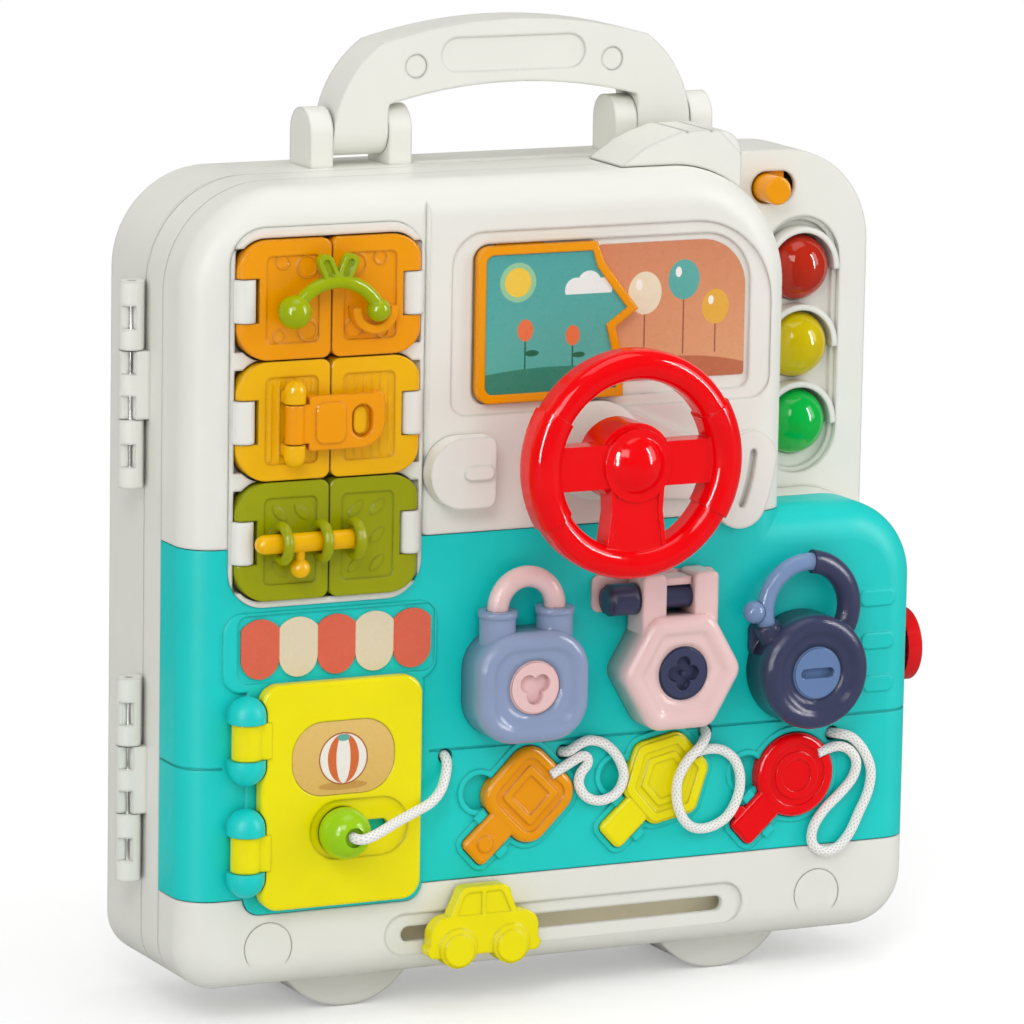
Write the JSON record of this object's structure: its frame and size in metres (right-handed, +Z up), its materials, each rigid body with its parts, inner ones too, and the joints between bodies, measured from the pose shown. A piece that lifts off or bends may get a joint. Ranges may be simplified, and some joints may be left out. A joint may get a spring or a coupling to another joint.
{
  "type": "folding activity case",
  "caption": "Bus-shaped plastic busy-board case in two hinged halves with a carrying handle, latched doors, a steering wheel, padlocks, keys and a sliding toy car.",
  "frame": {"origin": "on the floor, at the middle of the closed case's bounding box", "axes": "+Z up, +X to the right seen from the front, +Y to the back; the doors, the steering wheel and the padlocks face -Y"},
  "size_m": [0.295, 0.1126, 0.337],
  "materials": {
    "body_white": "fine satin",
    "teal": "satin",
    "orange": "gloss",
    "amber": "gloss",
    "olive": "gloss",
    "latch_green": "gloss",
    "yellow": "gloss",
    "lime": "gloss",
    "wheel_red": "high gloss",
    "dial_red": "gloss",
    "lamp_red": "clear tinted",
    "lamp_yellow": "clear tinted",
    "lamp_green": "clear tinted",
    "lock_blue": "gloss",
    "light_blue": "gloss",
    "pink": "gloss",
    "rose": "gloss",
    "navy": "gloss",
    "cord": "braided",
    "awning_print": "printed label",
    "window_print": "printed label",
    "scene_print": "printed label",
    "oval_print": "printed label",
    "steel": "plain",
    "circuit": "board",
    "cell": "wrapped cell"
  },
  "bodies": {
    "rear_half": {"rear_case": "body_white", "rear_cover": "body_white", "battery_door": "body_white", "batteries": "cell", "lamp_board": "circuit", "signal_housing": "body_white", "signal_red": "lamp_red", "signal_yellow": "lamp_yellow", "signal_green": "lamp_green", "handle_pins": "steel", "hinge_pins": "steel"},
    "front_half": {"front_tray": "body_white", "upper_cover": "body_white", "lower_cover": "teal", "bumper": "body_white", "roof_box": "body_white", "door_frame": "body_white", "awning_label": "awning_print", "window_picture": "scene_print", "steering_base": "body_white", "square_lock": "lock_blue", "hexagon_lock": "pink", "hexagon_plate": "pink", "round_lock": "navy"},
    "carry_handle": {"handle": "body_white", "handle_plugs": "body_white"},
    "lamp_switch": {"slide_switch": "orange"},
    "ratchet_dial": {"side_dial": "dial_red"},
    "top_left_door": {"door_top_left": "orange"},
    "top_right_door": {"door_top_right": "orange"},
    "middle_left_door": {"door_middle_left": "amber"},
    "middle_right_door": {"door_middle_right": "amber"},
    "bottom_left_door": {"door_bottom_left": "olive"},
    "bottom_right_door": {"door_bottom_right": "olive"},
    "swing_latch_arm": {"swing_latch": "latch_green"},
    "hasp_plate": {"hasp": "orange"},
    "bolt": {"slide_bolt": "amber"},
    "big_hatch": {"hatch": "yellow", "hatch_label": "oval_print", "bead": "lime", "bead_cord": "cord"},
    "picture_tile": {"window_tile": "orange", "tile_picture": "window_print"},
    "steering": {"steering_wheel": "wheel_red", "steering_spindle": "wheel_red"},
    "knob": {"dash_knob": "body_white"},
    "car": {"toy_car": "yellow", "car_clip": "body_white"},
    "lifting_shackle": {"square_shackle": "pink"},
    "square_lock_core": {"square_core": "rose"},
    "cross_bolt": {"hexagon_bolt": "navy"},
    "hexagon_lock_core": {"hexagon_core": "navy"},
    "swinging_shackle": {"round_shackle": "light_blue"},
    "round_lock_core": {"round_core": "light_blue"},
    "square_key": {"key_square": "orange", "cord_square": "cord"},
    "hexagon_key": {"key_hexagon": "yellow", "cord_hexagon": "cord"},
    "round_key": {"key_round": "wheel_red", "cord_round": "cord"}
  },
  "joints": [
    {"name": "case_opening", "type": "hinge", "parent": "rear_half", "child": "front_half", "pos_m": [-0.1432, 0.0213, 0.15], "axis": [0, 0, -1], "range_deg": [0, 180]},
    {"name": "handle_fold", "type": "hinge", "parent": "rear_half", "child": "carry_handle", "pos_m": [0.0018, 0.036, 0.2995], "axis": [-1, 0, 0], "range_deg": [0, 88]},
    {"name": "lamp_switch_slide", "type": "slide", "parent": "rear_half", "child": "lamp_switch", "axis": [1, 0, 0], "range_m": [0, 0.0055]},
    {"name": "dial_turn", "type": "hinge", "parent": "front_half", "child": "ratchet_dial", "pos_m": [0.1448, 0.0018, 0.1115], "axis": [1, 0, 0], "continuous": true},
    {"name": "top_left_door_hinge", "type": "hinge", "parent": "front_half", "child": "top_left_door", "pos_m": [-0.1192, -0.0182, 0.2515], "axis": [0, 0, -1], "range_deg": [0, 90]},
    {"name": "top_right_door_hinge", "type": "hinge", "parent": "front_half", "child": "top_right_door", "pos_m": [-0.0576, -0.0182, 0.2515], "axis": [0, 0, 1], "range_deg": [0, 90]},
    {"name": "middle_left_door_hinge", "type": "hinge", "parent": "front_half", "child": "middle_left_door", "pos_m": [-0.1192, -0.0182, 0.2105], "axis": [0, 0, -1], "range_deg": [0, 90]},
    {"name": "middle_right_door_hinge", "type": "hinge", "parent": "front_half", "child": "middle_right_door", "pos_m": [-0.0576, -0.0182, 0.2105], "axis": [0, 0, 1], "range_deg": [0, 90]},
    {"name": "bottom_left_door_hinge", "type": "hinge", "parent": "front_half", "child": "bottom_left_door", "pos_m": [-0.1192, -0.0182, 0.1695], "axis": [0, 0, -1], "range_deg": [0, 90]},
    {"name": "bottom_right_door_hinge", "type": "hinge", "parent": "front_half", "child": "bottom_right_door", "pos_m": [-0.0576, -0.0182, 0.1695], "axis": [0, 0, 1], "range_deg": [0, 90]},
    {"name": "swing_latch_pivot", "type": "hinge", "parent": "top_left_door", "child": "swing_latch_arm", "pos_m": [-0.1047, -0.0272, 0.2482], "axis": [0, -1, 0], "range_deg": [0, 70]},
    {"name": "hasp_hinge", "type": "hinge", "parent": "middle_left_door", "child": "hasp_plate", "pos_m": [-0.1034, -0.0254, 0.21], "axis": [0, 0, -1], "range_deg": [0, 100]},
    {"name": "bolt_slide", "type": "slide", "parent": "bottom_left_door", "child": "bolt", "axis": [-1, 0, 0], "range_m": [-0.0025, 0.0013]},
    {"name": "hatch_hinge", "type": "hinge", "parent": "front_half", "child": "big_hatch", "pos_m": [-0.1182, -0.0219, 0.08], "axis": [0, 0, -1], "range_deg": [0, 120]},
    {"name": "picture_slide", "type": "slide", "parent": "front_half", "child": "picture_tile", "axis": [1, 0, 0], "range_m": [0, 0.042]},
    {"name": "steering_turn", "type": "hinge", "parent": "front_half", "child": "steering", "pos_m": [0.0126, -0.0377, 0.193], "axis": [0, 1, 0], "continuous": true},
    {"name": "knob_turn", "type": "hinge", "parent": "front_half", "child": "knob", "pos_m": [-0.0402, -0.0227, 0.189], "axis": [0, 1, 0], "range_deg": [-60, 60]},
    {"name": "car_slide", "type": "slide", "parent": "front_half", "child": "car", "axis": [1, 0, 0], "range_m": [-0.0157, 0.0838]},
    {"name": "shackle_lift", "type": "slide", "parent": "front_half", "child": "lifting_shackle", "axis": [0, 0, 1], "range_m": [0, 0.009]},
    {"name": "square_core_turn", "type": "hinge", "parent": "front_half", "child": "square_lock_core", "pos_m": [-0.0158, -0.0277, 0.1146], "axis": [0, 1, 0], "range_deg": [0, 90]},
    {"name": "cross_bolt_slide", "type": "slide", "parent": "front_half", "child": "cross_bolt", "axis": [-1, 0, 0], "range_m": [0, 0.0112]},
    {"name": "hexagon_core_turn", "type": "hinge", "parent": "front_half", "child": "hexagon_lock_core", "pos_m": [0.0411, -0.0277, 0.1153], "axis": [0, 1, 0], "range_deg": [0, 90]},
    {"name": "shackle_swing", "type": "hinge", "parent": "front_half", "child": "swinging_shackle", "pos_m": [0.0933, -0.0247, 0.133], "axis": [0, 1, 0], "range_deg": [0, 75]},
    {"name": "round_core_turn", "type": "hinge", "parent": "front_half", "child": "round_lock_core", "pos_m": [0.0937, -0.0277, 0.1113], "axis": [0, 1, 0], "range_deg": [0, 90]},
    {"name": "square_key_lift", "type": "slide", "parent": "front_half", "child": "square_key", "axis": [0, -1, 0], "range_m": [0, 0.025]},
    {"name": "hexagon_key_lift", "type": "slide", "parent": "front_half", "child": "hexagon_key", "axis": [0, -1, 0], "range_m": [0, 0.025]},
    {"name": "round_key_lift", "type": "slide", "parent": "front_half", "child": "round_key", "axis": [0, -1, 0], "range_m": [0, 0.025]}
  ],
  "couplings": [
    {"joint": "top_right_door_hinge", "follows": "top_left_door_hinge", "ratio": 1},
    {"joint": "middle_right_door_hinge", "follows": "middle_left_door_hinge", "ratio": 1},
    {"joint": "bottom_right_door_hinge", "follows": "bottom_left_door_hinge", "ratio": 1}
  ]
}
